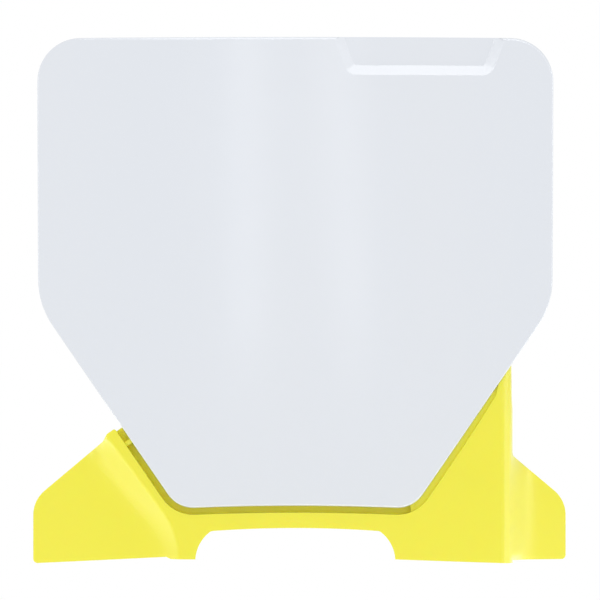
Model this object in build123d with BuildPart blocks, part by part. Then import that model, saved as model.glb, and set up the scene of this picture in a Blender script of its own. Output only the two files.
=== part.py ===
from build123d import *
import os
from math import cos, hypot, radians, sin, sqrt, tan

# A motocross front number board: a crowned white board seated in a swept yellow lower shroud.
# The front faces -Y. The origin is the middle of the fixing screw's hole, in the tab behind the board.
# Heights are measured up from the lowest corner of the wings, depths back from the crown of the front face.

# Place of the fixing screw
SCREW_HEIGHT = 150.0
SCREW_REACH = 42.0

# Crown of the front face
PLAN_RADIUS = 420.0
SIDE_RADIUS = 1800.0
CROWN_HEIGHT = 123.0

# Board outline
BOARD_TOP = 245.5
BOARD_WIDTH = 240.6
SHOULDER_HEIGHT = 121.5
SHOULDER_WIDTH = 239.4
BASE_HEIGHT = 27.0
BASE_WIDTH = 109.2
BASE_RISE = 2.0
TOP_RADIUS = 20.0
SHOULDER_RADIUS = 38.0
BASE_RADIUS = 14.0
BASE_ARCH_RADIUS = 1000.0

# Board section
BOARD_WALL = 2.6
RIM_DEPTH = 6.5
RIM_WALL = 2.2
EDGE_BEVEL = 1.4

# Recess with sloped sides at the top right of the board
RECESS_DEPTH = 2.2
RECESS_SLOPE = 4.6
RECESS_MIDDLE = 57.6
RECESS_TOP_WIDTH = 80.0
RECESS_LOW_WIDTH = 66.0
RECESS_HEIGHT = 17.6
RECESS_CORNER = 7.0
RECESS_CLEAR = 0.5

# Ribs and fixing tab behind the board
RIB_DEPTH = 5.4
RIB_WALL = 2.0
RIB_SPACING = 34.0
TAB_THICKNESS = 5.0
TAB_END_RADIUS = 10.0
TAB_ROOT_WIDTH = 46.0
GUSSET_HEIGHT = 36.0
GUSSET_REACH = 27.0
SCREW_HOLE = 6.6

# Channel round the lower edge of the board, and the seat flange behind it
CHANNEL = 3.2
CHANNEL_WALL = 2.0
SEAT_GAP = 0.2
SEAT_WALL = 2.4
SEAT_WIDTH = 10.0
LEFT_RUN = 45.5
RIGHT_RUN = 76.0
CHANNEL_RIB_RUN = 38.0
CHANNEL_RIB_LENGTH = 2.2
CHANNEL_RIB_DEPTH = 2.4
FILL_START = 53.5
FILL_DEPTH = 3.4
FILL_GAP = 0.4
CHANNEL_END_RUN = 70.0
CHANNEL_TAPER = 5.0

# Shroud: lip, box side and wings
EDGE_ROUND = 2.0
SHEET = 2.6
LIP_SET = 1.2
LIP_WIDTH = 4.3
LIP_DRAFT = 27.0
LIP_BEND = 42.0
LEG_SIDE = 55.0
BOX_SIDE = 99.4
BOX_DRAFT = 3.2
BOX_BEVEL = 4.0
BOX_EASE = 1.2
BOX_RISE = 97.0
SLANT_TOP_DEPTH = 22.0
LIP_RUN = 47.0
LIP_FOOT_REACH = 2.1
LIP_STEP = 3.7
LIP_FOOT_ROUND = 3.0
LIP_END_ROUND = 2.0
RIDGE_ROUND = 3.0
LEG_BOTTOM = 3.3
LEG_STEP = 58.0
SHROUD_DEPTH = 70.0
BOX_BOTTOM = 1.0
WING_ROOT = 55.0
WING_ROOT_DEPTH = 14.0
WING_SWEEP = 26.5
WING_BULGE = 2.5
LIP_BLEND = 9.0
BOX_BLEND = 10.0
FORM_MARGIN = 3.0
WING_SLOPE = 40.0
WING_CORNER = 15.0
LEFT_TIP = 123.1
LEFT_TIP_BOTTOM = 0.0
LEFT_ROOT_BOTTOM = 4.2
RIGHT_TIP = 127.0
RIGHT_TIP_BOTTOM = 1.9
RIGHT_ROOT_BOTTOM = 2.2

# Cut-out for the mudguard, in the middle of the lower edge
NOTCH_WIDTH = 92.8
NOTCH_TOP_WIDTH = 78.0
NOTCH_HEIGHT = 16.5
NOTCH_CROWN = 18.0
NOTCH_SIDE_RADIUS = 17.4
NOTCH_FOOT = 2.5
NOTCH_CORNER = 3.0

# Tongues that push into the mudguard, and the guide for the brake hose
TONGUE_SPACING = 52.0
TONGUE_WIDTH = 16.0
TONGUE_THICKNESS = 4.0
TONGUE_HEIGHT = 21.2
TONGUE_DEPTH = 28.0
TONGUE_CHAMFER = 1.5
GUIDE_BORE = 9.4
GUIDE_WALL = 2.4
GUIDE_GAP = 6.4
GUIDE_LENGTH = 10.0
GUIDE_SIDE = 80.0
GUIDE_HEIGHT = 40.0
GUIDE_FOOT = 8.0

# Screws that hold the board to the shroud
SCREW_INSET = 8.5
LEFT_SCREW_RUN = 33.0
RIGHT_SCREW_RUN = 62.0
BOSS = 8.0
BOSS_SHORT = 0.9
PAD = 13.0
PAD_PROUD = 2.0
SHANK = 3.5
PILOT = 3.6
PILOT_FLOOR = 1.6
HOLE_CLEARANCE = 0.3
TIP_CLEARANCE = 0.4
HEAD = 7.0
HEAD_HEIGHT = 3.2

# Working room for cuts that pass right through
THROUGH = 130.0
BEYOND = 60.0

SEAT_DEPTH = RIM_DEPTH + SEAT_GAP
SEAT_BACK = SEAT_DEPTH + SEAT_WALL

front = Plane(origin=(0, -SCREW_REACH, -SCREW_HEIGHT), x_dir=(1, 0, 0), z_dir=(0, -1, 0))
plan = Plane(origin=(0, -SCREW_REACH, -SCREW_HEIGHT))
far_side = Plane(
    origin=(0, 2 * SIDE_RADIUS - PLAN_RADIUS - SCREW_REACH, CROWN_HEIGHT - SCREW_HEIGHT), x_dir=(0, -1, 0)
)
crown_axis = Axis((0, SIDE_RADIUS - SCREW_REACH, CROWN_HEIGHT - SCREW_HEIGHT), (1, 0, 0))


def crown_depth(x, height, behind=0.0):
    """Depth at which the crowned face lies, when it is set back by behind."""
    ring = SIDE_RADIUS - PLAN_RADIUS + sqrt((PLAN_RADIUS - behind) ** 2 - x**2)
    return SIDE_RADIUS - sqrt(ring**2 - (height - CROWN_HEIGHT) ** 2)


def skin(near, far):
    """Slab that follows the crown of the board, from one depth behind it to another."""
    with BuildPart() as slab:
        with BuildSketch(far_side):
            Circle(PLAN_RADIUS - near)
            Circle(PLAN_RADIUS - far, mode=Mode.SUBTRACT)
            with Locations((-PLAN_RADIUS, 0)):
                Rectangle(2 * PLAN_RADIUS, 2 * (RIGHT_TIP + BEYOND / 2), mode=Mode.INTERSECT)
        revolve(axis=crown_axis)
    return slab.part


def board_outline(grow):
    """Front view of the board, grown or shrunk all round."""
    half_top, half_shoulder, half_base = BOARD_WIDTH / 2, SHOULDER_WIDTH / 2, BASE_WIDTH / 2
    with BuildSketch() as outline:
        with BuildLine():
            FilletPolyline(
                (-half_base, BASE_HEIGHT),
                (-half_shoulder, SHOULDER_HEIGHT),
                (-half_top, BOARD_TOP),
                (half_top, BOARD_TOP),
                (half_shoulder, SHOULDER_HEIGHT),
                (half_base, BASE_HEIGHT),
                (0, BASE_HEIGHT + BASE_RISE),
                radius=(
                    BASE_RADIUS,
                    SHOULDER_RADIUS,
                    TOP_RADIUS,
                    TOP_RADIUS,
                    SHOULDER_RADIUS,
                    BASE_RADIUS,
                    BASE_ARCH_RADIUS,
                ),
                close=True,
            )
        make_face()
        if grow:
            offset(amount=grow, mode=Mode.REPLACE)
    return outline.sketch


slope_run = hypot((SHOULDER_WIDTH - BASE_WIDTH) / 2, SHOULDER_HEIGHT - BASE_HEIGHT)
slope_x = (SHOULDER_WIDTH - BASE_WIDTH) / 2 / slope_run
slope_z = (SHOULDER_HEIGHT - BASE_HEIGHT) / slope_run


def along_slope(side, run, inset):
    """Point up a lower slanted edge of the board, -1 for left and 1 for right, set in from that edge."""
    x = BASE_WIDTH / 2 + run * slope_x - inset * slope_z
    return (side * x, BASE_HEIGHT + run * slope_z + inset * slope_x)


screw_places = [
    along_slope(-1, LEFT_SCREW_RUN, SCREW_INSET),
    (0, BASE_HEIGHT + BASE_RISE + SCREW_INSET),
    along_slope(1, RIGHT_SCREW_RUN, SCREW_INSET),
]


def pad_depth(x, height):
    """Depth of the flat pad under a screw's head."""
    return crown_depth(x, height, SEAT_BACK) + PAD_PROUD


def boss_end(x, height):
    """Depth of the flat end of a screw boss, just clear of the seat flange."""
    return crown_depth(x, height, RIM_DEPTH) - BOSS_SHORT


def pilot_end(x, height):
    """Depth at which a screw's pilot hole ends, inside the board's skin."""
    return crown_depth(x, height, PILOT_FLOOR)


# Recess tool: its floor follows the crown, and its sides slope out and on through the front face
with BuildPart() as recess_tool:
    add(skin(-BEYOND, RECESS_DEPTH))
    slope_over = RECESS_SLOPE * RECESS_CLEAR / RECESS_DEPTH
    with BuildSketch(front):
        with BuildLine():
            half_high, half_low = RECESS_TOP_WIDTH / 2 + slope_over, RECESS_LOW_WIDTH / 2 + slope_over
            recess_low = BOARD_TOP - RECESS_HEIGHT - slope_over
            recess_high = BOARD_TOP + BEYOND / 2
            FilletPolyline(
                (RECESS_MIDDLE - half_high, BOARD_TOP),
                (RECESS_MIDDLE - half_low, recess_low),
                (RECESS_MIDDLE + half_low, recess_low),
                (RECESS_MIDDLE + half_high, BOARD_TOP),
                (RECESS_MIDDLE + half_high, recess_high),
                (RECESS_MIDDLE - half_high, recess_high),
                radius=(0, RECESS_CORNER, RECESS_CORNER, 0, 0, 0),
                close=True,
            )
        make_face()
    extrude(amount=THROUGH, both=True, mode=Mode.INTERSECT)
    recess_floor = faces().sort_by(Axis.Y)[-1]
    chamfer(
        recess_floor.edges().sort_by(Axis.Z)[:-1],
        length=RECESS_SLOPE + slope_over,
        length2=RECESS_DEPTH + RECESS_CLEAR,
        reference=recess_floor,
    )

# White board: crowned skin with a rolled edge and a return rim
with BuildPart() as board_hollow:
    add(skin(BOARD_WALL, RIM_DEPTH + BEYOND))
    with BuildSketch(front):
        add(board_outline(-RIM_WALL))
    extrude(amount=THROUGH, both=True, mode=Mode.INTERSECT)

with BuildPart() as board_stiffeners:
    add(skin(BOARD_WALL / 2, RIB_DEPTH))
    with BuildSketch(front):
        with GridLocations(RIB_SPACING, 1, 2, 1):
            Rectangle(RIB_WALL, 4 * BOARD_TOP)
    extrude(amount=THROUGH, both=True, mode=Mode.INTERSECT)
    with BuildSketch(front):
        add(board_outline(-RIM_WALL / 2))
    extrude(amount=THROUGH, both=True, mode=Mode.INTERSECT)

with BuildPart() as recess_backing:
    add(skin(BOARD_WALL / 2, RECESS_DEPTH + BOARD_WALL))
    with BuildSketch(front):
        add(board_outline(-RIM_WALL / 2))
    extrude(amount=THROUGH, both=True, mode=Mode.INTERSECT)
    with BuildSketch(front):
        with Locations((RECESS_MIDDLE, BOARD_TOP)):
            Rectangle(RECESS_TOP_WIDTH, 2 * RECESS_HEIGHT)
    extrude(amount=THROUGH, both=True, mode=Mode.INTERSECT)

with BuildPart() as fixing_tab:
    with BuildSketch(Plane.XY.offset(-TAB_THICKNESS / 2)):
        Circle(TAB_END_RADIUS)
        with Locations((0, -SCREW_REACH)):
            Rectangle(TAB_ROOT_WIDTH, BOARD_WALL)
        make_hull()
    extrude(amount=TAB_THICKNESS)
    with BuildSketch(Plane.YZ):
        with BuildLine():
            Polyline(
                (-SCREW_REACH, 0),
                (GUSSET_REACH - SCREW_REACH, 0),
                (-SCREW_REACH, -GUSSET_HEIGHT),
                close=True,
            )
        make_face()
    gusset = extrude(amount=RIB_WALL / 2, both=True, mode=Mode.PRIVATE)
    with GridLocations(RIB_SPACING, 1, 2, 1):
        add(gusset)
    add(skin(BOARD_WALL / 2, THROUGH), mode=Mode.INTERSECT)
    Hole(SCREW_HOLE / 2)

with BuildPart() as screw_bosses:
    for place in screw_places:
        with BuildSketch(front.offset(-boss_end(*place))):
            with Locations(place):
                Circle(BOSS / 2)
        extrude(amount=boss_end(*place))
    add(skin(BOARD_WALL / 2, THROUGH), mode=Mode.INTERSECT)

with BuildPart() as pilot_holes:
    for place in screw_places:
        with BuildSketch(front.offset(-pilot_end(*place))):
            with Locations(place):
                Circle(PILOT / 2)
        extrude(amount=-RIM_DEPTH)

with BuildPart() as number_board:
    add(skin(0, RIM_DEPTH))
    with BuildSketch(front):
        add(board_outline(0))
    extrude(amount=THROUGH, both=True, mode=Mode.INTERSECT)
    chamfer(faces().sort_by(Axis.Y)[0].edges(), EDGE_BEVEL)
    add(board_hollow.part, mode=Mode.SUBTRACT)
    add([board_stiffeners.part, recess_backing.part, fixing_tab.part, screw_bosses.part])
    add([recess_tool.part, pilot_holes.part], mode=Mode.SUBTRACT)


# Yellow shroud: the solid form under its front, with the lip's sloped flank and the box's side
def front_form(inset):
    """Form under the shroud's front face, taken in by the sheet's thickness for its inner side."""
    lip_place = along_slope(-1, LEFT_RUN / 2, -CHANNEL - LIP_WIDTH)
    flare = (SHROUD_DEPTH - crown_depth(*lip_place, LIP_SET)) * tan(radians(LIP_DRAFT)) - inset
    lip_offset = CHANNEL + LIP_WIDTH + flare
    bend_run = (LEG_SIDE + flare - BASE_WIDTH / 2 - lip_offset * slope_z) / slope_x
    bend = along_slope(-1, bend_run, -lip_offset)
    lip_far = along_slope(-1, 2 * slope_run, -lip_offset)
    with BuildPart() as form:
        with BuildSketch(front.offset(-SHROUD_DEPTH)):
            with BuildLine():
                FilletPolyline(
                    (bend[0], -BEYOND),
                    bend,
                    lip_far,
                    (2 * THROUGH, lip_far[1]),
                    (2 * THROUGH, -BEYOND),
                    radius=(0, LIP_BEND - flare, 0, 0, 0),
                    close=True,
                )
            make_face()
        extrude(amount=SHROUD_DEPTH, taper=LIP_DRAFT)
        with BuildSketch(plan.offset(-FORM_MARGIN)):
            with BuildLine():
                box_flare = SHROUD_DEPTH * tan(radians(BOX_DRAFT))
                Polyline(
                    (BOX_SIDE - inset, 0),
                    (BOX_SIDE - inset + box_flare, SHROUD_DEPTH),
                    (-2 * THROUGH, SHROUD_DEPTH),
                    (-2 * THROUGH, 0),
                    close=True,
                )
            make_face()
        extrude(amount=BOX_RISE + 2 * FORM_MARGIN, mode=Mode.INTERSECT)
        add(skin(LIP_SET + inset, THROUGH), mode=Mode.INTERSECT)
    return form.part


def wing_form(side, inset):
    """Form behind a wing's curved face, -1 for left and 1 for right, taken in by inset."""
    run_x, run_y = cos(radians(WING_SWEEP)), sin(radians(WING_SWEEP))
    end_run = (RIGHT_TIP + BEYOND / 4 - WING_ROOT) / run_x
    curve = []
    for run, bulge in ((0, 0), (end_run / 2, WING_BULGE), (end_run, 0)):
        inward = inset - bulge
        x = WING_ROOT + run * run_x - inward * run_y
        curve.append((side * x, WING_ROOT_DEPTH + run * run_y + inward * run_x))
    with BuildPart() as form:
        with BuildSketch(plan.offset(-FORM_MARGIN)):
            with BuildLine():
                ThreePointArc(*curve)
                Polyline(curve[2], (curve[2][0], SHROUD_DEPTH), (curve[0][0], SHROUD_DEPTH), curve[0])
            make_face()
        extrude(amount=BOX_RISE + 2 * FORM_MARGIN)
    return form.part


def shell_form(front_part, inset):
    """Front form and both wings as one."""
    with BuildPart() as form:
        add([front_part, *[wing_form(side, inset) for side in (-1, 1)]])
    return form.part


with BuildPart() as outer_front:
    add(front_form(0))
    ridges = faces().sort_by(Axis.Y)[0].edges().sort_by(Axis.Z)[1:-1].sort_by(Axis.X)
    fillet(ridges[:-1], RIDGE_ROUND)
    box_front = faces().sort_by(Axis.Y)[0].edges().sort_by(Axis.X)[-1]
    chamfer(box_front, BOX_BEVEL)
    bevel_front = faces().sort_by(Axis.Y)[0].edges().sort_by(Axis.X)[-1]
    bevel_side = faces().sort_by(Axis.X)[-1].edges().sort_by(Axis.Y)[0]
    chamfer([bevel_front, bevel_side], BOX_EASE)

# Outer form, with a hollow blend where a wing leaves the lip on the left and the box on the right
with BuildPart() as outer_form:
    add(shell_form(outer_front.part, 0))
    for side, blend in ((0, LIP_BLEND), (-1, BOX_BLEND)):
        wing_face = faces().filter_by(GeomType.CYLINDER).sort_by(SortBy.AREA)[-2:].sort_by(Axis.X)[side]
        upright = wing_face.edges().filter_by_position(
            Axis.Z, -FORM_MARGIN / 2 - SCREW_HEIGHT, BOX_RISE - SCREW_HEIGHT
        )
        fillet(upright.sort_by(lambda edge: abs(edge.center().X))[:-1], blend)

inner_form = shell_form(front_form(SHEET), SHEET)

# Outline of the shroud in front view, with the mudguard cut-out
wing_rise = tan(radians(WING_SLOPE))
lip_end = along_slope(-1, LIP_RUN, -CHANNEL - LIP_WIDTH)
lip_foot = (lip_end[0] - LIP_FOOT_REACH, lip_end[1] - LIP_STEP)
wing_tip_height = lip_foot[1] - (LEFT_TIP + lip_foot[0]) * wing_rise
wing_at_box = WING_ROOT_DEPTH + (BOX_SIDE - WING_ROOT) * tan(radians(WING_SWEEP))
box_edge = BOX_SIDE + wing_at_box * tan(radians(BOX_DRAFT))
with BuildSketch(front) as front_outline:
    with BuildLine():
        FilletPolyline(
            (-LEFT_TIP, LEFT_TIP_BOTTOM),
            (-LEFT_TIP, wing_tip_height),
            lip_foot,
            lip_end,
            along_slope(-1, LIP_RUN, -CHANNEL),
            along_slope(-1, LEFT_RUN, -CHANNEL),
            along_slope(-1, LEFT_RUN, SEAT_WIDTH),
            (BOX_SIDE, BOX_RISE),
            (RIGHT_TIP, BOX_RISE),
            (RIGHT_TIP, RIGHT_TIP_BOTTOM),
            (box_edge, RIGHT_ROOT_BOTTOM),
            (box_edge, BOX_BOTTOM),
            (NOTCH_WIDTH / 2, LEG_BOTTOM),
            (-LEG_STEP, LEG_BOTTOM),
            (-LEG_STEP - EDGE_ROUND, LEFT_ROOT_BOTTOM),
            radius=(
                EDGE_ROUND,
                WING_CORNER,
                LIP_FOOT_ROUND,
                LIP_END_ROUND,
                LIP_END_ROUND / 2,
                0,
                0,
                0,
                0,
                EDGE_ROUND,
                0,
                0,
                0,
                0,
                0,
            ),
            close=True,
        )
    make_face()
    with BuildLine():
        side_foot, side_top = (NOTCH_WIDTH / 2, NOTCH_FOOT), (NOTCH_TOP_WIDTH / 2, NOTCH_HEIGHT)
        other_foot, other_top = (-NOTCH_WIDTH / 2, NOTCH_FOOT), (-NOTCH_TOP_WIDTH / 2, NOTCH_HEIGHT)
        Polyline(other_foot, (-NOTCH_WIDTH / 2, -BEYOND), (NOTCH_WIDTH / 2, -BEYOND), side_foot)
        RadiusArc(side_foot, side_top, -NOTCH_SIDE_RADIUS)
        ThreePointArc(side_top, (0, NOTCH_CROWN), other_top)
        RadiusArc(other_top, other_foot, -NOTCH_SIDE_RADIUS)
    make_face(mode=Mode.SUBTRACT)
    notch_corners = vertices().sort_by_distance((0, NOTCH_HEIGHT))[:2]
    fillet(notch_corners, NOTCH_CORNER)

# Room above the right wing, outside the box's side
with BuildPart() as right_trim:
    with BuildSketch(front):
        with BuildLine():
            trim_top = BOX_RISE + 2 * FORM_MARGIN
            FilletPolyline(
                (box_edge, trim_top),
                (box_edge, wing_tip_height + (RIGHT_TIP - box_edge) * wing_rise),
                (RIGHT_TIP, wing_tip_height),
                (RIGHT_TIP, -BEYOND),
                (RIGHT_TIP + BEYOND, -BEYOND),
                (RIGHT_TIP + BEYOND, trim_top),
                radius=(0, LIP_FOOT_ROUND, WING_CORNER, 0, 0, 0),
                close=True,
            )
        make_face()
    extrude(amount=-THROUGH)
    add(outer_front.part, mode=Mode.SUBTRACT)

# Stretch of the board's edge that the channel and the seat flange follow
with BuildSketch() as seated_stretch:
    left_low, right_low = along_slope(-1, LEFT_RUN, -BEYOND), along_slope(1, RIGHT_RUN, -BEYOND)
    with BuildLine():
        Polyline(
            left_low,
            along_slope(-1, LEFT_RUN, BEYOND / 2),
            along_slope(1, RIGHT_RUN, BEYOND / 2),
            right_low,
            (right_low[0], -BEYOND),
            (left_low[0], -BEYOND),
            close=True,
        )
    make_face()

# Channel, which turns in to the board's edge at its upper right end
with BuildPart() as channel_space:
    add(skin(-BEYOND, SEAT_DEPTH))
    with BuildSketch(front):
        add(board_outline(CHANNEL))
        with BuildLine():
            taper_start = CHANNEL_END_RUN - CHANNEL_TAPER
            Polyline(
                along_slope(1, taper_start, -BEYOND),
                along_slope(1, taper_start, -CHANNEL),
                along_slope(1, CHANNEL_END_RUN, -FILL_GAP),
                along_slope(1, CHANNEL_END_RUN, BEYOND),
                along_slope(1, 2 * slope_run, BEYOND),
                along_slope(1, 2 * slope_run, -BEYOND),
                close=True,
            )
        make_face(mode=Mode.SUBTRACT)
        add(board_outline(FILL_GAP))
    extrude(amount=THROUGH, both=True, mode=Mode.INTERSECT)

with BuildPart() as channel_side:
    add(skin(LIP_SET + SHEET / 2, SEAT_BACK))
    with BuildSketch(front):
        add(board_outline(CHANNEL + CHANNEL_WALL))
        add(board_outline(CHANNEL), mode=Mode.SUBTRACT)
        add(seated_stretch.sketch, mode=Mode.INTERSECT)
    extrude(amount=THROUGH, both=True, mode=Mode.INTERSECT)

with BuildPart() as seat_flange:
    add(skin(SEAT_DEPTH, SEAT_BACK))
    with BuildSketch(front):
        add(board_outline(CHANNEL + CHANNEL_WALL / 2))
        add(board_outline(-SEAT_WIDTH), mode=Mode.SUBTRACT)
        with Locations(*screw_places):
            Circle(PAD / 2)
        add(seated_stretch.sketch, mode=Mode.INTERSECT)
    extrude(amount=THROUGH, both=True, mode=Mode.INTERSECT)

with BuildPart() as right_fill:
    add(skin(FILL_DEPTH, SEAT_DEPTH + SEAT_WALL / 2))
    with BuildSketch(front):
        add(board_outline(CHANNEL + CHANNEL_WALL / 2))
        add(board_outline(FILL_GAP), mode=Mode.SUBTRACT)
        add(seated_stretch.sketch, mode=Mode.INTERSECT)
        split(bisect_by=Plane.YZ.offset(FILL_START), keep=Keep.TOP)
    extrude(amount=THROUGH, both=True, mode=Mode.INTERSECT)

with BuildPart() as channel_rib:
    add(skin(CHANNEL_RIB_DEPTH, SEAT_DEPTH + SEAT_WALL / 2))
    with BuildSketch(front):
        with BuildLine():
            low, high = CHANNEL_RIB_RUN - CHANNEL_RIB_LENGTH / 2, CHANNEL_RIB_RUN + CHANNEL_RIB_LENGTH / 2
            rib_reach = CHANNEL + CHANNEL_WALL / 2
            Polyline(
                along_slope(-1, low, -FILL_GAP),
                along_slope(-1, high, -FILL_GAP),
                along_slope(-1, high, -rib_reach),
                along_slope(-1, low, -rib_reach),
                close=True,
            )
        make_face()
    extrude(amount=THROUGH, both=True, mode=Mode.INTERSECT)

with BuildPart() as channel_parts:
    add([channel_side.part, seat_flange.part, right_fill.part, channel_rib.part])
    add(outer_form.part, mode=Mode.INTERSECT)

with BuildPart() as mudguard_tongues:
    with BuildSketch(front.offset(-TONGUE_DEPTH)):
        with GridLocations(TONGUE_SPACING, 1, 2, 1):
            with Locations((0, TONGUE_HEIGHT)):
                Rectangle(TONGUE_WIDTH, TONGUE_THICKNESS)
    extrude(amount=TONGUE_DEPTH)
    chamfer(faces().group_by(Axis.Y)[-1].edges(), TONGUE_CHAMFER)
    add(skin(LIP_SET + SHEET / 2, THROUGH), mode=Mode.INTERSECT)

with BuildPart() as hose_guide:
    guide_radius = GUIDE_BORE / 2 + GUIDE_WALL
    sheet_back = crown_depth(GUIDE_SIDE, GUIDE_HEIGHT, LIP_SET + SHEET)
    guide_depth = sheet_back + guide_radius
    with BuildSketch(plan.offset(GUIDE_HEIGHT - GUIDE_LENGTH / 2)):
        with Locations((GUIDE_SIDE, guide_depth)):
            Circle(guide_radius)
        with Locations((GUIDE_SIDE, guide_depth - guide_radius)):
            Rectangle(GUIDE_FOOT, guide_radius)
        with Locations((GUIDE_SIDE, guide_depth)):
            Circle(GUIDE_BORE / 2, mode=Mode.SUBTRACT)
        with Locations((GUIDE_SIDE, guide_depth + guide_radius)):
            Rectangle(GUIDE_GAP, 2 * guide_radius, mode=Mode.SUBTRACT)
    extrude(amount=GUIDE_LENGTH)
    add(skin(LIP_SET + SHEET / 2, THROUGH), mode=Mode.INTERSECT)

# Slanted cut that takes off the rear upper corner of the box's side
with BuildPart() as box_slant:
    slant_foot = wing_tip_height + (RIGHT_TIP - BOX_SIDE) * wing_rise
    box_back = wing_at_box + SHEET
    with BuildSketch(Plane(origin=plan.origin, x_dir=(0, 1, 0), z_dir=(1, 0, 0))):
        with BuildLine():
            Polyline(
                (box_back, slant_foot),
                (SLANT_TOP_DEPTH, BOX_RISE),
                (SHROUD_DEPTH, BOX_RISE + BEYOND),
                (SHROUD_DEPTH, slant_foot),
                close=True,
            )
        make_face()
    extrude(amount=THROUGH)

with BuildPart() as screw_pads:
    for place in screw_places:
        with BuildSketch(front.offset(-pad_depth(*place))):
            with Locations(place):
                Circle(PAD / 2)
        extrude(amount=pad_depth(*place))
    add(skin(SEAT_DEPTH + SEAT_WALL / 2, THROUGH), mode=Mode.INTERSECT)

with BuildPart() as screw_holes:
    with BuildSketch(front):
        with Locations(*screw_places):
            Circle(SHANK / 2 + HOLE_CLEARANCE)
    extrude(amount=-SHROUD_DEPTH)

with BuildPart() as lower_shroud:
    add(outer_form.part)
    add(inner_form, mode=Mode.SUBTRACT)
    extrude(front_outline.sketch, amount=-SHROUD_DEPTH, mode=Mode.INTERSECT)
    add([channel_space.part, box_slant.part, right_trim.part], mode=Mode.SUBTRACT)
    add([channel_parts.part, screw_pads.part, mudguard_tongues.part, hose_guide.part])
    add(screw_holes.part, mode=Mode.SUBTRACT)

# Screws, driven from behind: a hexagon head on the pad and a shank that ends in the boss
with BuildPart() as board_screws:
    for place in screw_places:
        head_seat = pad_depth(*place)
        with BuildSketch(front.offset(-head_seat)):
            with Locations(place):
                RegularPolygon(HEAD / 2, 6, major_radius=False)
        extrude(amount=-HEAD_HEIGHT)
        with BuildSketch(front.offset(-head_seat)):
            with Locations(place):
                Circle(SHANK / 2)
        extrude(amount=head_seat - pilot_end(*place) - TIP_CLEARANCE)

os.makedirs("parts", exist_ok=True)
for piece, label in (
    (number_board, "number_board"),
    (lower_shroud, "lower_shroud"),
    (board_screws, "board_screws"),
):
    piece.part.label = label
    export_step(piece.part, f"parts/{label}.step")
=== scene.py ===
import math

import bmesh
import bpy
import numpy
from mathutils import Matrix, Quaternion, Vector
from mathutils.bvhtree import BVHTree


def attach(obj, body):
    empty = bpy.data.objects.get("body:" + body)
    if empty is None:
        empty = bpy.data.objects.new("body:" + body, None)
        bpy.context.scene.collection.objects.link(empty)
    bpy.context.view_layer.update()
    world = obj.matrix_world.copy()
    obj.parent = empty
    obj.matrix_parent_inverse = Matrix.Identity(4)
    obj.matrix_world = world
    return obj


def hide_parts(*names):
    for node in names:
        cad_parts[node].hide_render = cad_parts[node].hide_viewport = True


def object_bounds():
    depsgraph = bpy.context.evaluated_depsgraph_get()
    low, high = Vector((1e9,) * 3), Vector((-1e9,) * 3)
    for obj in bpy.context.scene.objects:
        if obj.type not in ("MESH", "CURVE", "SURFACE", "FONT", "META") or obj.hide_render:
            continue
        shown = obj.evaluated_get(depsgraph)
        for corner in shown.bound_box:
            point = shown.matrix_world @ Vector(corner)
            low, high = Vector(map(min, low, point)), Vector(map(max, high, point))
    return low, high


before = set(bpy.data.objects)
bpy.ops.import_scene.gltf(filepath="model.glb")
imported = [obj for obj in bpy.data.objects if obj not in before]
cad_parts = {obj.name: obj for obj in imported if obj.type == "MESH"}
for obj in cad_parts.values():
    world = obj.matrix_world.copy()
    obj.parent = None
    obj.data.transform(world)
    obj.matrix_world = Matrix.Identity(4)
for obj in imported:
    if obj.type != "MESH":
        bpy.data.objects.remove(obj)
cad_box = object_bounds()

# Number board: one white polypropylene moulding, crowned across and up, with a rolled edge and a sloped
# recess at the top right. Ribs, screw bosses and the fixing tab stand on its back. It comes glossy from a
# polished mould.
BOARD_SOFT_BEND = math.radians(21)
EDGE_STEPS = 6
EDGE_SWELL = 0.0009
BEVEL_LOOKS = (-0.80, -0.45)
SIDE_LOOKS = 0.3
WELD = 2e-6
BOARD_WHITE = (0.765, 0.800, 0.858, 1)
BOARD_WHITE_WARM = (0.790, 0.815, 0.860, 1)
BOARD_ROUGHNESS = 0.18
BOARD_GRAIN = 0.00002
BOARD_SHINE = 0.5
LARGE_FACES_LEAD = 100
FLOW_STRETCH = (22, 8, 3)
FLOW_DETAIL = 3.0
CLOUD_SCALE = 35.0
CLOUD_DETAIL = 4.0
GLOSS_SPREAD = 0.05
GRAIN_SCALE = 900.0
GRAIN_DETAIL = 2.0
GRAIN_STRENGTH = 0.25
SURFACE_IOR = 1.49


def merged_shell(node):
    """A node's loose triangles as one closed shell."""
    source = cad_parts[node].data
    loose = bpy.data.meshes.new(node + "_loose")
    loose.from_pydata([v.co for v in source.vertices], [], [p.vertices for p in source.polygons])
    shell = bmesh.new()
    shell.from_mesh(loose)
    bpy.data.meshes.remove(loose)
    bmesh.ops.remove_doubles(shell, verts=shell.verts, dist=WELD)
    shell.normal_update()
    return shell


def shade_bends(shell, soft_bend):
    """Shades a shell softly across bends below the given angle, and sharply across the others."""
    for face in shell.faces:
        face.smooth = True
    for edge in shell.edges:
        edge.smooth = edge.calc_face_angle(math.pi) < soft_bend


def finished_skin(name, shell, soft_bend):
    """The piece made of a shell, shaded softly across bends below the given angle."""
    shade_bends(shell, soft_bend)
    skin = bpy.data.meshes.new(name)
    shell.to_mesh(skin)
    shell.free()
    piece = bpy.data.objects.new(name, skin)
    bpy.context.scene.collection.objects.link(piece)
    even = piece.modifiers.new("even shading", "WEIGHTED_NORMAL")
    even.keep_sharp = True
    even.weight = LARGE_FACES_LEAD
    return piece


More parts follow.
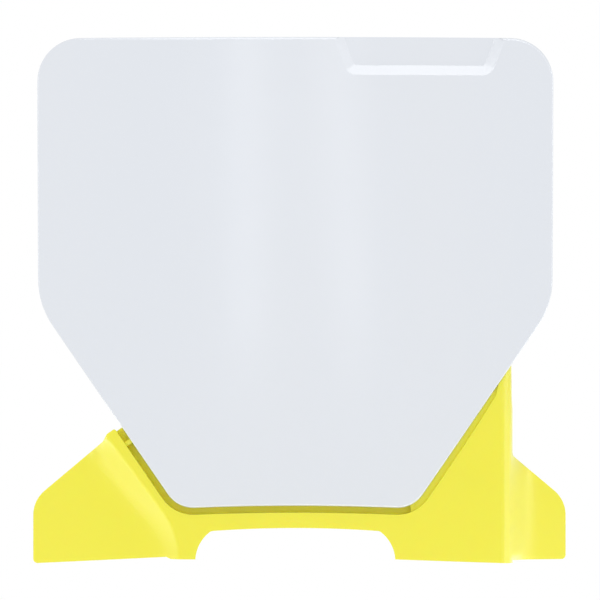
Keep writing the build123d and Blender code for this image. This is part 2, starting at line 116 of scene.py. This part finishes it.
def roll_edge(shell):
    """Swells the bevel round the front face out to a smooth roll."""
    along = shell.verts.layers.float.new("along")
    bevels = dict.fromkeys(face for face in shell.faces if BEVEL_LOOKS[0] < face.normal.y < BEVEL_LOOKS[1])
    for face in bevels:
        for vert in face.verts:
            others = [near for near in vert.link_faces if near not in bevels]
            vert[along] = 1.0 if any(abs(near.normal.y) < SIDE_LOOKS for near in others) else 0.0
    edges = dict.fromkeys(edge for face in bevels for edge in face.edges)
    across = [edge for edge in edges if edge.verts[0][along] != edge.verts[1][along]]
    bmesh.ops.subdivide_edges(shell, edges=across, cuts=EDGE_STEPS - 1)
    shell.normal_update()
    for vert in shell.verts:
        share = vert[along]
        if 0 < share < 1:
            vert.co += vert.normal * (2 * share * (1 - share) * EDGE_SWELL)
    shell.normal_update()


def grained_surface(name, tint, warm_tint, roughness, grain_height, shine):
    """A cloudy tint, a gloss that varies a little, and the fine grain that a mould or a plating leaves."""
    material = bpy.data.materials.new(name)
    material.use_nodes = True
    nodes, links = material.node_tree.nodes, material.node_tree.links
    shader = nodes["Principled BSDF"]
    place = nodes.new("ShaderNodeTexCoord")

    stretch = nodes.new("ShaderNodeMapping")
    stretch.inputs["Scale"].default_value = FLOW_STRETCH
    links.new(place.outputs["Object"], stretch.inputs["Vector"])
    flow = nodes.new("ShaderNodeTexNoise")
    flow.inputs["Scale"].default_value = 1.0
    flow.inputs["Detail"].default_value = FLOW_DETAIL
    links.new(stretch.outputs["Vector"], flow.inputs["Vector"])
    blend = nodes.new("ShaderNodeMix")
    blend.data_type = "RGBA"
    blend.inputs["A"].default_value = tint
    blend.inputs["B"].default_value = warm_tint
    links.new(flow.outputs["Fac"], blend.inputs["Factor"])
    links.new(blend.outputs["Result"], shader.inputs["Base Color"])

    cloud = nodes.new("ShaderNodeTexNoise")
    cloud.inputs["Scale"].default_value = CLOUD_SCALE
    cloud.inputs["Detail"].default_value = CLOUD_DETAIL
    links.new(place.outputs["Object"], cloud.inputs["Vector"])
    gloss = nodes.new("ShaderNodeMapRange")
    gloss.inputs["To Min"].default_value = roughness - GLOSS_SPREAD
    gloss.inputs["To Max"].default_value = roughness + GLOSS_SPREAD
    links.new(cloud.outputs["Fac"], gloss.inputs["Value"])
    links.new(gloss.outputs["Result"], shader.inputs["Roughness"])

    grain = nodes.new("ShaderNodeTexNoise")
    grain.inputs["Scale"].default_value = GRAIN_SCALE
    grain.inputs["Detail"].default_value = GRAIN_DETAIL
    links.new(place.outputs["Object"], grain.inputs["Vector"])
    relief = nodes.new("ShaderNodeBump")
    relief.inputs["Strength"].default_value = GRAIN_STRENGTH
    relief.inputs["Distance"].default_value = grain_height
    links.new(grain.outputs["Fac"], relief.inputs["Height"])
    links.new(relief.outputs["Normal"], shader.inputs["Normal"])

    shader.inputs["IOR"].default_value = SURFACE_IOR
    shader.inputs["Specular IOR Level"].default_value = shine
    return material


board_shell = merged_shell("number_board")
roll_edge(board_shell)
board_tree = BVHTree.FromBMesh(board_shell)
board = finished_skin("white_board", board_shell, BOARD_SOFT_BEND)
board_gloss = grained_surface(
    "board_white_gloss", BOARD_WHITE, BOARD_WHITE_WARM, BOARD_ROUGHNESS, BOARD_GRAIN, BOARD_SHINE
)
board.data.materials.append(board_gloss)
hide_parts("number_board")
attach(board, "root")

# Lower shroud: one bright yellow polypropylene moulding, with a raised lip round the lower edge of the board,
# a shadow channel, a box-shaped right side and two swept wings. The board's edge sits on the flange in its
# channel.
SHROUD_SOFT_BEND = math.radians(40)
LEDGE_GAPS = (0.0003, 0.0005)
LEDGE_TOUCH = 0.00005
SLOPE_FOOT = (0.0546, -0.1230)
SLOPE_WAY = (0.5673, 0.8235)
CHANNEL_WIDTH = 0.0032
CHANNEL_RUN = 0.066
CHANNEL_END = 0.0715
CHANNEL_NARROWING = 0.0012
NARROWING_POWER = 3.3
CHANNEL_FLOOR = (0.0014, 0.0042)
CHANNEL_LIFT = 0.0010
LIFT_POWER = 1.5
PANEL_EDGE = (-0.03429, 0.0441, 0.365)
WALL_BAND = 0.00003
FLOOR_LOOKS = -0.9
LEFT_HOLLOW = ((-0.128, -0.052), (-0.151, -0.085))
LEFT_ROUNDS = 160
RIGHT_HOLLOW = ((0.094, 0.128), (-0.151, -0.085))
RIGHT_ROUNDS = 260
HOLLOW_CELL = 0.0005
HOLLOW_FRONT = -0.2
HOLLOW_CLEAR = 0.0038
HOLLOW_STEPS = (0.0011, 0.0022)
HOLLOW_LEAST = 0.0003
OUTER_LOOKS = -0.03
RIM_LOOKS = -0.3
RIM_BEVEL = 0.0004
SHROUD_YELLOW = (0.882, 0.836, 0.062, 1)
SHROUD_YELLOW_WARM = (0.890, 0.840, 0.066, 1)
SHROUD_ROUGHNESS = 0.32
SHROUD_GRAIN = 0.00006
SHROUD_SHINE = 0.38
GLOW_WEIGHT = 0.35
GLOW_RADIUS = (1.0, 0.75, 0.05)
GLOW_SCALE = 0.003


def close_ledge(shell):
    """Brings the ledge beside the board, and the rib in the channel, up to the board's side."""
    for vert in shell.verts:
        place, _, _, gap = board_tree.find_nearest(vert.co, LEDGE_GAPS[1])
        if place and gap > LEDGE_GAPS[0]:
            vert.co = place + (vert.co - place) * (LEDGE_TOUCH / gap)


def narrow_channel(shell):
    """Lets the right arm of the channel narrow and run out towards its upper end."""
    for vert in shell.verts:
        right, up = vert.co.x - SLOPE_FOOT[0], vert.co.z - SLOPE_FOOT[1]
        run = right * SLOPE_WAY[0] + up * SLOPE_WAY[1]
        aside = right * SLOPE_WAY[1] - up * SLOPE_WAY[0]
        if not 0 < run < CHANNEL_END or not 0 < aside < CHANNEL_WIDTH + WALL_BAND:
            continue
        front = min((face.normal for face in vert.link_faces), key=lambda normal: normal.y)
        if front.y > FLOOR_LOOKS:
            continue
        share = min(run / CHANNEL_RUN, 1)
        move = Vector((0, 0, 0))
        if aside > CHANNEL_WIDTH - WALL_BAND:
            shift = CHANNEL_NARROWING * share**NARROWING_POWER
            move = Vector((-SLOPE_WAY[1] * shift, 0, SLOPE_WAY[0] * shift))
            move.y = -(front.x * move.x + front.z * move.z) / front.y
        edge_depth = PANEL_EDGE[0] + PANEL_EDGE[1] * run + PANEL_EDGE[2] * run * run
        if CHANNEL_FLOOR[0] < vert.co.y - edge_depth < CHANNEL_FLOOR[1]:
            move.y -= CHANNEL_LIFT * share**LIFT_POWER
        vert.co += move
    shell.normal_update()


def settled_depth(shell, span, rounds):
    """Depth of the front on a grid, as it is and with its hollow corners filled like a stretched skin."""
    tree = BVHTree.FromBMesh(shell)
    across = numpy.arange(span[0][0], span[0][1], HOLLOW_CELL)
    up = numpy.arange(span[1][0], span[1][1], HOLLOW_CELL)
    depth = numpy.full((len(up), len(across)), numpy.nan)
    for row, z in enumerate(up):
        for column, x in enumerate(across):
            hit = tree.ray_cast(Vector((x, HOLLOW_FRONT, z)), Vector((0, 1, 0)))[0]
            if hit and board_tree.find_nearest(hit)[3] > HOLLOW_CLEAR:
                depth[row, column] = hit.y
    for upright in depth.T:
        known = numpy.flatnonzero(~numpy.isnan(upright))
        if known.size:
            upright[: known[0]] = upright[known[0]]
    level = depth.copy()
    for _ in range(rounds):
        pairs = numpy.stack([level[1:-1, :-2] + level[1:-1, 2:], level[:-2, 1:-1] + level[2:, 1:-1]]) / 2
        known = ~numpy.isnan(pairs)
        count = known.sum(axis=0)
        mean = numpy.where(known, pairs, 0).sum(axis=0) / numpy.maximum(count, 1)
        mean = numpy.where(known[0], mean, numpy.inf)
        inner = depth[1:-1, 1:-1]
        level[1:-1, 1:-1] = numpy.where(numpy.isnan(inner), numpy.nan, numpy.minimum(inner, mean))
    return depth, level


def fill_hollow(shell, span, rounds):
    """Fills the hollow corner in a span of the front, so that one face runs softly into the next."""
    (left, right), (low, high) = span
    depth, level = settled_depth(shell, span, rounds)

    def outer_faces():
        for face in shell.faces:
            middle = face.calc_center_median()
            inside = left < middle.x < right and low < middle.z < high
            if inside and face.normal.y < OUTER_LOOKS and board_tree.find_nearest(middle)[3] > HOLLOW_CLEAR:
                yield face

    cut = list(outer_faces())
    cut += list(dict.fromkeys(part for face in cut for part in (*face.edges, *face.verts)))
    for axis, (start, end), step in ((0, span[0], HOLLOW_STEPS[0]), (2, span[1], HOLLOW_STEPS[1])):
        for place in numpy.arange(start, end, step):
            point, normal = Vector((0, 0, 0)), Vector((0, 0, 0))
            point[axis], normal[axis] = place, 1.0
            cut = bmesh.ops.bisect_plane(shell, geom=cut, dist=WELD, plane_co=point, plane_no=normal)["geom"]
    shell.normal_update()
    for vert in {vert for face in outer_faces() for vert in face.verts}:
        column, row = (vert.co.x - left) / HOLLOW_CELL, (vert.co.z - low) / HOLLOW_CELL
        near_column, near_row = int(column), int(row)
        if not (0 <= near_column < depth.shape[1] - 1 and 0 <= near_row < depth.shape[0] - 1):
            continue
        corner = (slice(near_row, near_row + 2), slice(near_column, near_column + 2))
        share_up, share_across = row - near_row, column - near_column
        weights = numpy.outer((1 - share_up, share_up), (1 - share_across, share_across))
        known = ~numpy.isnan(depth[corner])
        if not weights[known].sum() > 0:
            continue
        fill = (depth[corner] - level[corner])[known].mean()
        if known.all() or fill > HOLLOW_LEAST:
            total = weights[known].sum()
            was = (weights * depth[corner])[known].sum() / total
            settled = (weights * level[corner])[known].sum() / total
            if any(face.normal.z < RIM_LOOKS for face in vert.link_faces):
                settled += min(max(vert.co.y - was, 0), RIM_BEVEL)
            vert.co.y = min(vert.co.y, settled)
    shell.normal_update()


shroud_shell = merged_shell("lower_shroud")
close_ledge(shroud_shell)
narrow_channel(shroud_shell)
fill_hollow(shroud_shell, LEFT_HOLLOW, LEFT_ROUNDS)
fill_hollow(shroud_shell, RIGHT_HOLLOW, RIGHT_ROUNDS)
shroud = finished_skin("yellow_shroud", shroud_shell, SHROUD_SOFT_BEND)
shroud_satin = grained_surface(
    "shroud_yellow_satin", SHROUD_YELLOW, SHROUD_YELLOW_WARM, SHROUD_ROUGHNESS, SHROUD_GRAIN, SHROUD_SHINE
)
shroud.data.materials.append(shroud_satin)
shroud_shader = shroud_satin.node_tree.nodes["Principled BSDF"]
shroud_shader.inputs["Subsurface Weight"].default_value = GLOW_WEIGHT
shroud_shader.inputs["Subsurface Radius"].default_value = GLOW_RADIUS
shroud_shader.inputs["Subsurface Scale"].default_value = GLOW_SCALE
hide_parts("lower_shroud")
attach(shroud, "root")

# Screws: three zinc-plated self-tapping screws, driven from behind through the shroud's pads into the bosses
# of the board. They are headed cold from wire: a hexagon with its rim turned off and a shallow dish in the
# middle.
HEAD_CORNER = 0.00404
HEAD_SIDE = 0.0028
HEAD_CHAMFER = 0.0004
HEAD_TOP_SHARE = 0.9
DISH_RIM_SHARE = 0.72
DISH_FLOOR_SHARE = 0.8
DISH_DEPTH = 0.0006
SHANK_RADIUS = 0.00175
SHANK_LENGTH = 0.00925
TIP_LENGTH = 0.0009
TIP_SHARE = 0.6
SCREW_SIDES = 24
SIXTH_TURN = math.pi / 3
SCREW_SOFT_BEND = math.radians(30)
ZINC = (0.60, 0.60, 0.62, 1)
ZINC_WARM = (0.66, 0.65, 0.62, 1)
ZINC_ROUGHNESS = 0.35
ZINC_GRAIN = 0.00002
ZINC_SHINE = 0.5

screw_shell = merged_shell("board_screws")
waiting = set(screw_shell.verts)
screw_tips = []
while waiting:
    group, grown = set(), {waiting.pop()}
    while grown:
        group |= grown
        grown = {edge.other_vert(vert) for vert in grown for edge in vert.link_edges} - group
    waiting -= group
    low, high = ([pick(vert.co[axis] for vert in group) for axis in range(3)] for pick in (min, max))
    seat = high[1] - HEAD_SIDE - HEAD_CHAMFER
    screw_tips.append(((low[0] + high[0]) / 2, seat - SHANK_LENGTH, (low[2] + high[2]) / 2))
screw_shell.free()

screw_tree = bpy.data.node_groups.new("screw_set", "GeometryNodeTree")
screw_tree.interface.new_socket("Tips", in_out="INPUT", socket_type="NodeSocketGeometry")
screw_sizes = {
    "Tip Radius": SHANK_RADIUS * TIP_SHARE,
    "Tip Length": TIP_LENGTH,
    "Shank Length": SHANK_LENGTH - TIP_LENGTH,
    "Shank Growth": 1 / TIP_SHARE,
    "Head Growth": HEAD_CORNER / SHANK_RADIUS,
    "Head Side": HEAD_SIDE,
    "Head Chamfer": HEAD_CHAMFER,
    "Dish Depth": -DISH_DEPTH,
}
size_keys = {}
for size_name in screw_sizes:
    socket = screw_tree.interface.new_socket(size_name, in_out="INPUT", socket_type="NodeSocketFloat")
    size_keys[size_name] = socket.identifier
metal_socket = screw_tree.interface.new_socket("Metal", in_out="INPUT", socket_type="NodeSocketMaterial")
screw_tree.interface.new_socket("Screws", in_out="OUTPUT", socket_type="NodeSocketGeometry")
nodes, links = screw_tree.nodes, screw_tree.links
given = nodes.new("NodeGroupInput").outputs
along_axis = nodes.new("ShaderNodeCombineXYZ")
along_axis.inputs["Z"].default_value = 1.0
tip_ring = nodes.new("GeometryNodeMeshCircle")
tip_ring.fill_type = "NGON"
tip_ring.inputs["Vertices"].default_value = SCREW_SIDES
links.new(given["Tip Radius"], tip_ring.inputs["Radius"])


def grow(mesh, top, rise, scale):
    """Raises the top face along the screw, scales it there, and gives the mesh and the new top face."""
    extrude = nodes.new("GeometryNodeExtrudeMesh")
    extrude.inputs["Individual"].default_value = False
    links.new(mesh, extrude.inputs["Mesh"])
    links.new(along_axis.outputs["Vector"], extrude.inputs["Offset"])
    scaled = nodes.new("GeometryNodeScaleElements")
    links.new(extrude.outputs["Mesh"], scaled.inputs["Geometry"])
    links.new(extrude.outputs["Top"], scaled.inputs["Selection"])
    if top:
        links.new(top, extrude.inputs["Selection"])
    for value, socket in ((rise, extrude.inputs["Offset Scale"]), (scale, scaled.inputs["Scale"])):
        if isinstance(value, str):
            links.new(given[value], socket)
        else:
            socket.default_value = value
    return scaled.outputs["Geometry"], extrude.outputs["Top"]


def hexagon(mesh, top):
    """Draws the round top face in to six flats, with a corner to each side."""
    place = nodes.new("GeometryNodeInputPosition")
    parts = nodes.new("ShaderNodeSeparateXYZ")
    links.new(place.outputs["Position"], parts.inputs["Vector"])
    value = parts.outputs["Y"]
    steps = (
        ("ARCTAN2", parts.outputs["X"]),
        ("FLOORED_MODULO", SIXTH_TURN),
        ("SUBTRACT", SIXTH_TURN / 2),
        ("COSINE", 0),
    )
    for operation, second in steps:
        sum_node = nodes.new("ShaderNodeMath")
        sum_node.operation = operation
        links.new(value, sum_node.inputs[0])
        if isinstance(second, bpy.types.NodeSocket):
            links.new(second, sum_node.inputs[1])
        else:
            sum_node.inputs[1].default_value = second
        value = sum_node.outputs["Value"]
    share = nodes.new("ShaderNodeMath")
    share.operation = "DIVIDE"
    share.inputs[0].default_value = math.cos(SIXTH_TURN / 2)
    links.new(value, share.inputs[1])
    flat = nodes.new("ShaderNodeCombineXYZ")
    flat.inputs["Z"].default_value = 1.0
    links.new(share.outputs["Value"], flat.inputs["X"])
    links.new(share.outputs["Value"], flat.inputs["Y"])
    drawn = nodes.new("ShaderNodeVectorMath")
    drawn.operation = "MULTIPLY"
    links.new(place.outputs["Position"], drawn.inputs[0])
    links.new(flat.outputs["Vector"], drawn.inputs[1])
    moved = nodes.new("GeometryNodeSetPosition")
    links.new(mesh, moved.inputs["Geometry"])
    links.new(top, moved.inputs["Selection"])
    links.new(drawn.outputs["Vector"], moved.inputs["Position"])
    return moved.outputs["Geometry"]


mesh, top = grow(tip_ring.outputs["Mesh"], None, "Tip Length", "Shank Growth")
mesh, top = grow(mesh, top, "Shank Length", 1.0)
mesh, top = grow(mesh, top, 0.0, "Head Growth")
mesh = hexagon(mesh, top)
mesh, top = grow(mesh, top, "Head Side", 1.0)
mesh, top = grow(mesh, top, "Head Chamfer", HEAD_TOP_SHARE)
mesh, top = grow(mesh, top, 0.0, DISH_RIM_SHARE)
mesh, top = grow(mesh, top, "Dish Depth", DISH_FLOOR_SHARE)
tip_end = nodes.new("GeometryNodeFlipFaces")
links.new(tip_ring.outputs["Mesh"], tip_end.inputs["Mesh"])
whole = nodes.new("GeometryNodeJoinGeometry")
links.new(mesh, whole.inputs["Geometry"])
links.new(tip_end.outputs["Mesh"], whole.inputs["Geometry"])
closed = nodes.new("GeometryNodeMergeByDistance")
closed.inputs["Distance"].default_value = WELD
links.new(whole.outputs["Geometry"], closed.inputs["Geometry"])
driven = nodes.new("GeometryNodeInstanceOnPoints")
driven.inputs["Rotation"].default_value = (-math.pi / 2, 0, 0)
links.new(given["Tips"], driven.inputs["Points"])
links.new(closed.outputs["Geometry"], driven.inputs["Instance"])
real = nodes.new("GeometryNodeRealizeInstances")
links.new(driven.outputs["Instances"], real.inputs["Geometry"])
plated = nodes.new("GeometryNodeSetMaterial")
links.new(real.outputs["Geometry"], plated.inputs["Geometry"])
links.new(given["Metal"], plated.inputs["Material"])
links.new(plated.outputs["Geometry"], nodes.new("NodeGroupOutput").inputs["Screws"])

zinc = grained_surface("zinc_plate", ZINC, ZINC_WARM, ZINC_ROUGHNESS, ZINC_GRAIN, ZINC_SHINE)
zinc.node_tree.nodes["Principled BSDF"].inputs["Metallic"].default_value = 1.0
tip_mesh = bpy.data.meshes.new("screw_tips")
tip_mesh.from_pydata(sorted(screw_tips), [], [])
screws = bpy.data.objects.new("hexagon_screws", tip_mesh)
bpy.context.scene.collection.objects.link(screws)
maker = screws.modifiers.new("screw set", "NODES")
maker.node_group = screw_tree
for size_name, size in screw_sizes.items():
    maker[size_keys[size_name]] = size
maker[metal_socket.identifier] = zinc
screw_mesh = bpy.data.meshes.new_from_object(screws.evaluated_get(bpy.context.evaluated_depsgraph_get()))
screws.modifiers.remove(maker)
screws.data = screw_mesh
screw_shell = bmesh.new()
screw_shell.from_mesh(screw_mesh)
bmesh.ops.recalc_face_normals(screw_shell, faces=screw_shell.faces)
shade_bends(screw_shell, SCREW_SOFT_BEND)
screw_shell.to_mesh(screw_mesh)
screw_shell.free()
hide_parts("board_screws")
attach(screws, "root")

# Floor: a plain white table just below the part. It throws light up at the part, and the camera sees it
# almost pure white, so that only a trace of the part's shadow shows.
FLOOR_DROP = 0.03
FLOOR_HALF = 12.0
FLOOR_WHITE = (0.82, 0.82, 0.82, 1)
FLOOR_UPLIGHT = 0.22
FLOOR_SEEN = 0.93
FLOOR_ROUGHNESS = 0.9
PURE_WHITE = (1, 1, 1, 1)

floor_height = cad_box[0][2] - FLOOR_DROP
floor_mesh = bpy.data.meshes.new("floor")
floor_mesh.from_pydata(
    [
        (-FLOOR_HALF, -FLOOR_HALF, floor_height),
        (FLOOR_HALF, -FLOOR_HALF, floor_height),
        (FLOOR_HALF, FLOOR_HALF, floor_height),
        (-FLOOR_HALF, FLOOR_HALF, floor_height),
    ],
    [],
    [(0, 1, 2, 3)],
)
floor = bpy.data.objects.new("floor", floor_mesh)
bpy.context.scene.collection.objects.link(floor)


def seen_directly(nodes, links):
    """Socket that is 1 for what the camera sees, also in a mirror or through glass, and 0 for other light."""
    ray = nodes.new("ShaderNodeLightPath")
    seen = ray.outputs["Is Camera Ray"]
    for way in ("Is Glossy Ray", "Is Transmission Ray"):
        either = nodes.new("ShaderNodeMath")
        either.operation = "MAXIMUM"
        links.new(seen, either.inputs[0])
        links.new(ray.outputs[way], either.inputs[1])
        seen = either.outputs["Value"]
    return seen


floor_white = bpy.data.materials.new("floor_white")
floor_white.use_nodes = True
floor_nodes, floor_links = floor_white.node_tree.nodes, floor_white.node_tree.links
floor_paint = floor_nodes["Principled BSDF"]
floor_paint.inputs["Base Color"].default_value = FLOOR_WHITE
floor_paint.inputs["Roughness"].default_value = FLOOR_ROUGHNESS
floor_paint.inputs["Specular IOR Level"].default_value = 0.0
floor_paint.inputs["Emission Color"].default_value = PURE_WHITE
floor_paint.inputs["Emission Strength"].default_value = FLOOR_UPLIGHT
floor_backing = floor_nodes.new("ShaderNodeEmission")
floor_share = floor_nodes.new("ShaderNodeMath")
floor_share.operation = "MULTIPLY"
floor_share.inputs[1].default_value = FLOOR_SEEN
floor_links.new(seen_directly(floor_nodes, floor_links), floor_share.inputs[0])
floor_mix = floor_nodes.new("ShaderNodeMixShader")
floor_links.new(floor_share.outputs["Value"], floor_mix.inputs["Fac"])
floor_links.new(floor_paint.outputs["BSDF"], floor_mix.inputs[1])
floor_links.new(floor_backing.outputs["Emission"], floor_mix.inputs[2])
floor_links.new(floor_mix.outputs["Shader"], floor_nodes["Material Output"].inputs["Surface"])
floor_mesh.materials.append(floor_white)

# Room: an even white tent of thin cloth round the part, lit from outside. It lights the part from all sides,
# and the camera sees it as pure white.
TENT_LEVEL = 0.96

room = bpy.context.scene.world or bpy.data.worlds.new("room")
bpy.context.scene.world = room
room.use_nodes = True
room_nodes, room_links = room.node_tree.nodes, room.node_tree.links
room_nodes.clear()
tent_light = room_nodes.new("ShaderNodeBackground")
tent_light.inputs["Color"].default_value = PURE_WHITE
tent_light.inputs["Strength"].default_value = TENT_LEVEL
tent_seen = room_nodes.new("ShaderNodeBackground")
tent_seen.inputs["Color"].default_value = PURE_WHITE
tent_mix = room_nodes.new("ShaderNodeMixShader")
room_links.new(seen_directly(room_nodes, room_links), tent_mix.inputs["Fac"])
room_links.new(tent_light.outputs["Background"], tent_mix.inputs[1])
room_links.new(tent_seen.outputs["Background"], tent_mix.inputs[2])
room_out = room_nodes.new("ShaderNodeOutputWorld")
room_links.new(tent_mix.outputs["Shader"], room_out.inputs["Surface"])

# Lamps: two tall strips beside the camera, which draw the faint upright bands on the glossy board, soft boxes
# above and at both sides, and light tables on the floor under and behind the part. The tent lights the part,
# and these only show in reflections.
AT_PART = (0, 0, 0)
TABLE_CLEAR = 0.002
table_height = floor_height + TABLE_CLEAR

LAMPS = (
    ("left_strip", (-0.375, -3.0, 0.0), AT_PART, (0.23, 1.7), 0.0, 2.2),
    ("right_strip", (0.415, -3.0, 0.0), AT_PART, (0.26, 1.7), 10.0, 2.0),
    ("top_soft_box", (0.29, -1.26, 1.65), AT_PART, (2.6, 1.7), 0.0, 48.0),
    ("overhead_soft_box", (0.0, 0.0, 2.2), AT_PART, (1.2, 1.0), 0.0, 6.0),
    ("left_soft_box", (-2.39, 0.21, 0.0), AT_PART, (0.8, 1.6), 0.0, 10.0),
    ("right_soft_box", (2.39, 0.21, 0.0), AT_PART, (0.8, 1.6), 0.0, 14.0),
    ("right_front_soft_box", (1.82, -1.33, 0.82), AT_PART, (0.7, 0.9), 0.0, 2.6),
    ("right_light_table", (0.45, 0.37, table_height), (0.45, 0.37, 1), (0.9, 0.9), 0.0, 3.5),
    ("light_table", (0.0, 0.13, table_height), (0, 0.13, 1), (0.5, 0.42), 0.0, 1.26),
)
for name, place, aim, (width, height), lean, watts in LAMPS:
    lamp = bpy.data.lights.new(name, "AREA")
    lamp.shape = "RECTANGLE"
    lamp.size = width
    lamp.size_y = height
    lamp.energy = watts
    lamp_stand = bpy.data.objects.new(name, lamp)
    lamp_stand.location = place
    turn = (Vector(aim) - Vector(place)).to_track_quat("-Z", "Y")
    lamp_stand.rotation_euler = (turn @ Quaternion((0, 0, 1), math.radians(lean))).to_euler()
    lamp_stand.visible_camera = False
    lamp_stand.visible_diffuse = False
    bpy.context.scene.collection.objects.link(lamp_stand)

# Camera: a long lens on a stand three metres in front of the part, level and square to the board, so that its
# sides and the floor hardly show.
CAMERA_PLACE = (0.00217, -3.042, -0.0264)
CAMERA_LENS = 389.2
CAMERA_SENSOR = 36.0

lens = bpy.data.cameras.new("camera")
lens.lens = CAMERA_LENS
lens.sensor_width = CAMERA_SENSOR
camera = bpy.data.objects.new("camera", lens)
camera.location = CAMERA_PLACE
camera.rotation_euler = (math.pi / 2, 0, 0)
bpy.context.scene.collection.objects.link(camera)
bpy.context.scene.camera = camera
bpy.context.scene.view_settings.view_transform = "Standard"
